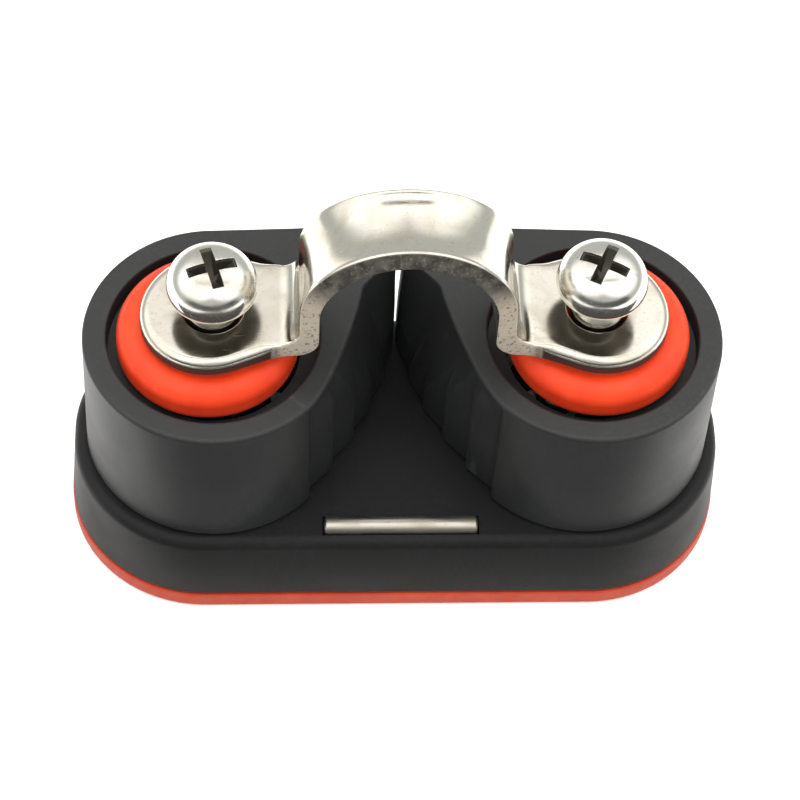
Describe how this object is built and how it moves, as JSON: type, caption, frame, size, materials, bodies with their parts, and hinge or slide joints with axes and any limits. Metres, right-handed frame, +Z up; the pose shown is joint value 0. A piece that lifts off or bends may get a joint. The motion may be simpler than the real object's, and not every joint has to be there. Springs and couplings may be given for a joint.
{
  "type": "cam cleat",
  "caption": "Spring-loaded cam cleat that grips a rope between toothed jaws on ball bearings, with a bent steel saddle fairlead over the rope path.",
  "frame": {"origin": "centre of the underside, on the deck, midway between the two mounting screws", "axes": "+X from the left cam to the right cam, -Y towards the load and +Y towards the cam noses, +Z up off the deck"},
  "size_m": [0.068, 0.0296, 0.0468],
  "materials": {
    "black_moulding": "fine matt grain",
    "black_cam": "fine matt grain",
    "orange_moulding": "satin",
    "orange_bush": "satin",
    "polished_steel": "polished stainless with fine swirl marks",
    "screw_steel": "polished stainless",
    "satin_steel": "brushed along its length",
    "ball_steel": "ground and polished",
    "spring_wire": "drawn wire",
    "white_acetal": "smooth"
  },
  "bodies": {
    "base_assembly": {"bottom_plate": "orange_moulding", "base": "black_moulding", "wear_bar": "satin_steel", "fairlead_strap": "polished_steel", "left_pivot_bush": "orange_bush", "left_torsion_spring": "spring_wire", "left_thrust_washer": "satin_steel", "left_race_spacer": "white_acetal", "left_screw": "screw_steel", "right_pivot_bush": "orange_bush", "right_torsion_spring": "spring_wire", "right_thrust_washer": "satin_steel", "right_race_spacer": "white_acetal", "right_screw": "screw_steel"},
    "left_cam_body": {"left_cam": "black_cam"},
    "right_cam_body": {"right_cam": "black_cam"},
    "left_ball_set": {"left_lower_ball_01": "ball_steel", "left_lower_ball_02": "ball_steel", "left_lower_ball_03": "ball_steel", "left_lower_ball_04": "ball_steel", "left_lower_ball_05": "ball_steel", "left_lower_ball_06": "ball_steel", "left_lower_ball_07": "ball_steel", "left_lower_ball_08": "ball_steel", "left_lower_ball_09": "ball_steel", "left_lower_ball_10": "ball_steel", "left_upper_ball_01": "ball_steel", "left_upper_ball_02": "ball_steel", "left_upper_ball_03": "ball_steel", "left_upper_ball_04": "ball_steel", "left_upper_ball_05": "ball_steel", "left_upper_ball_06": "ball_steel", "left_upper_ball_07": "ball_steel", "left_upper_ball_08": "ball_steel", "left_upper_ball_09": "ball_steel", "left_upper_ball_10": "ball_steel"},
    "right_ball_set": {"right_lower_ball_01": "ball_steel", "right_lower_ball_02": "ball_steel", "right_lower_ball_03": "ball_steel", "right_lower_ball_04": "ball_steel", "right_lower_ball_05": "ball_steel", "right_lower_ball_06": "ball_steel", "right_lower_ball_07": "ball_steel", "right_lower_ball_08": "ball_steel", "right_lower_ball_09": "ball_steel", "right_lower_ball_10": "ball_steel", "right_upper_ball_01": "ball_steel", "right_upper_ball_02": "ball_steel", "right_upper_ball_03": "ball_steel", "right_upper_ball_04": "ball_steel", "right_upper_ball_05": "ball_steel", "right_upper_ball_06": "ball_steel", "right_upper_ball_07": "ball_steel", "right_upper_ball_08": "ball_steel", "right_upper_ball_09": "ball_steel", "right_upper_ball_10": "ball_steel"}
  },
  "joints": [
    {"name": "left_cam_pivot", "type": "hinge", "parent": "base_assembly", "child": "left_cam_body", "pos_m": [-0.019, 0, 0.02], "axis": [0, 0, 1], "range_deg": [0, 48], "stiffness_Nm_per_rad": 0.08, "springref_deg": -34.38, "deforming": ["left_torsion_spring"]},
    {"name": "left_ball_orbit", "type": "hinge", "parent": "base_assembly", "child": "left_ball_set", "pos_m": [-0.019, 0, 0.02], "axis": [0, 0, 1], "range_deg": [0, 32]},
    {"name": "right_cam_pivot", "type": "hinge", "parent": "base_assembly", "child": "right_cam_body", "pos_m": [0.019, 0, 0.02], "axis": [0, 0, -1], "range_deg": [0, 48], "stiffness_Nm_per_rad": 0.08, "springref_deg": -34.38, "deforming": ["right_torsion_spring"]},
    {"name": "right_ball_orbit", "type": "hinge", "parent": "base_assembly", "child": "right_ball_set", "pos_m": [0.019, 0, 0.02], "axis": [0, 0, -1], "range_deg": [0, 32]}
  ],
  "couplings": [
    {"joint": "left_ball_orbit", "follows": "left_cam_pivot", "ratio": 0.6553},
    {"joint": "right_ball_orbit", "follows": "right_cam_pivot", "ratio": 0.6553}
  ]
}
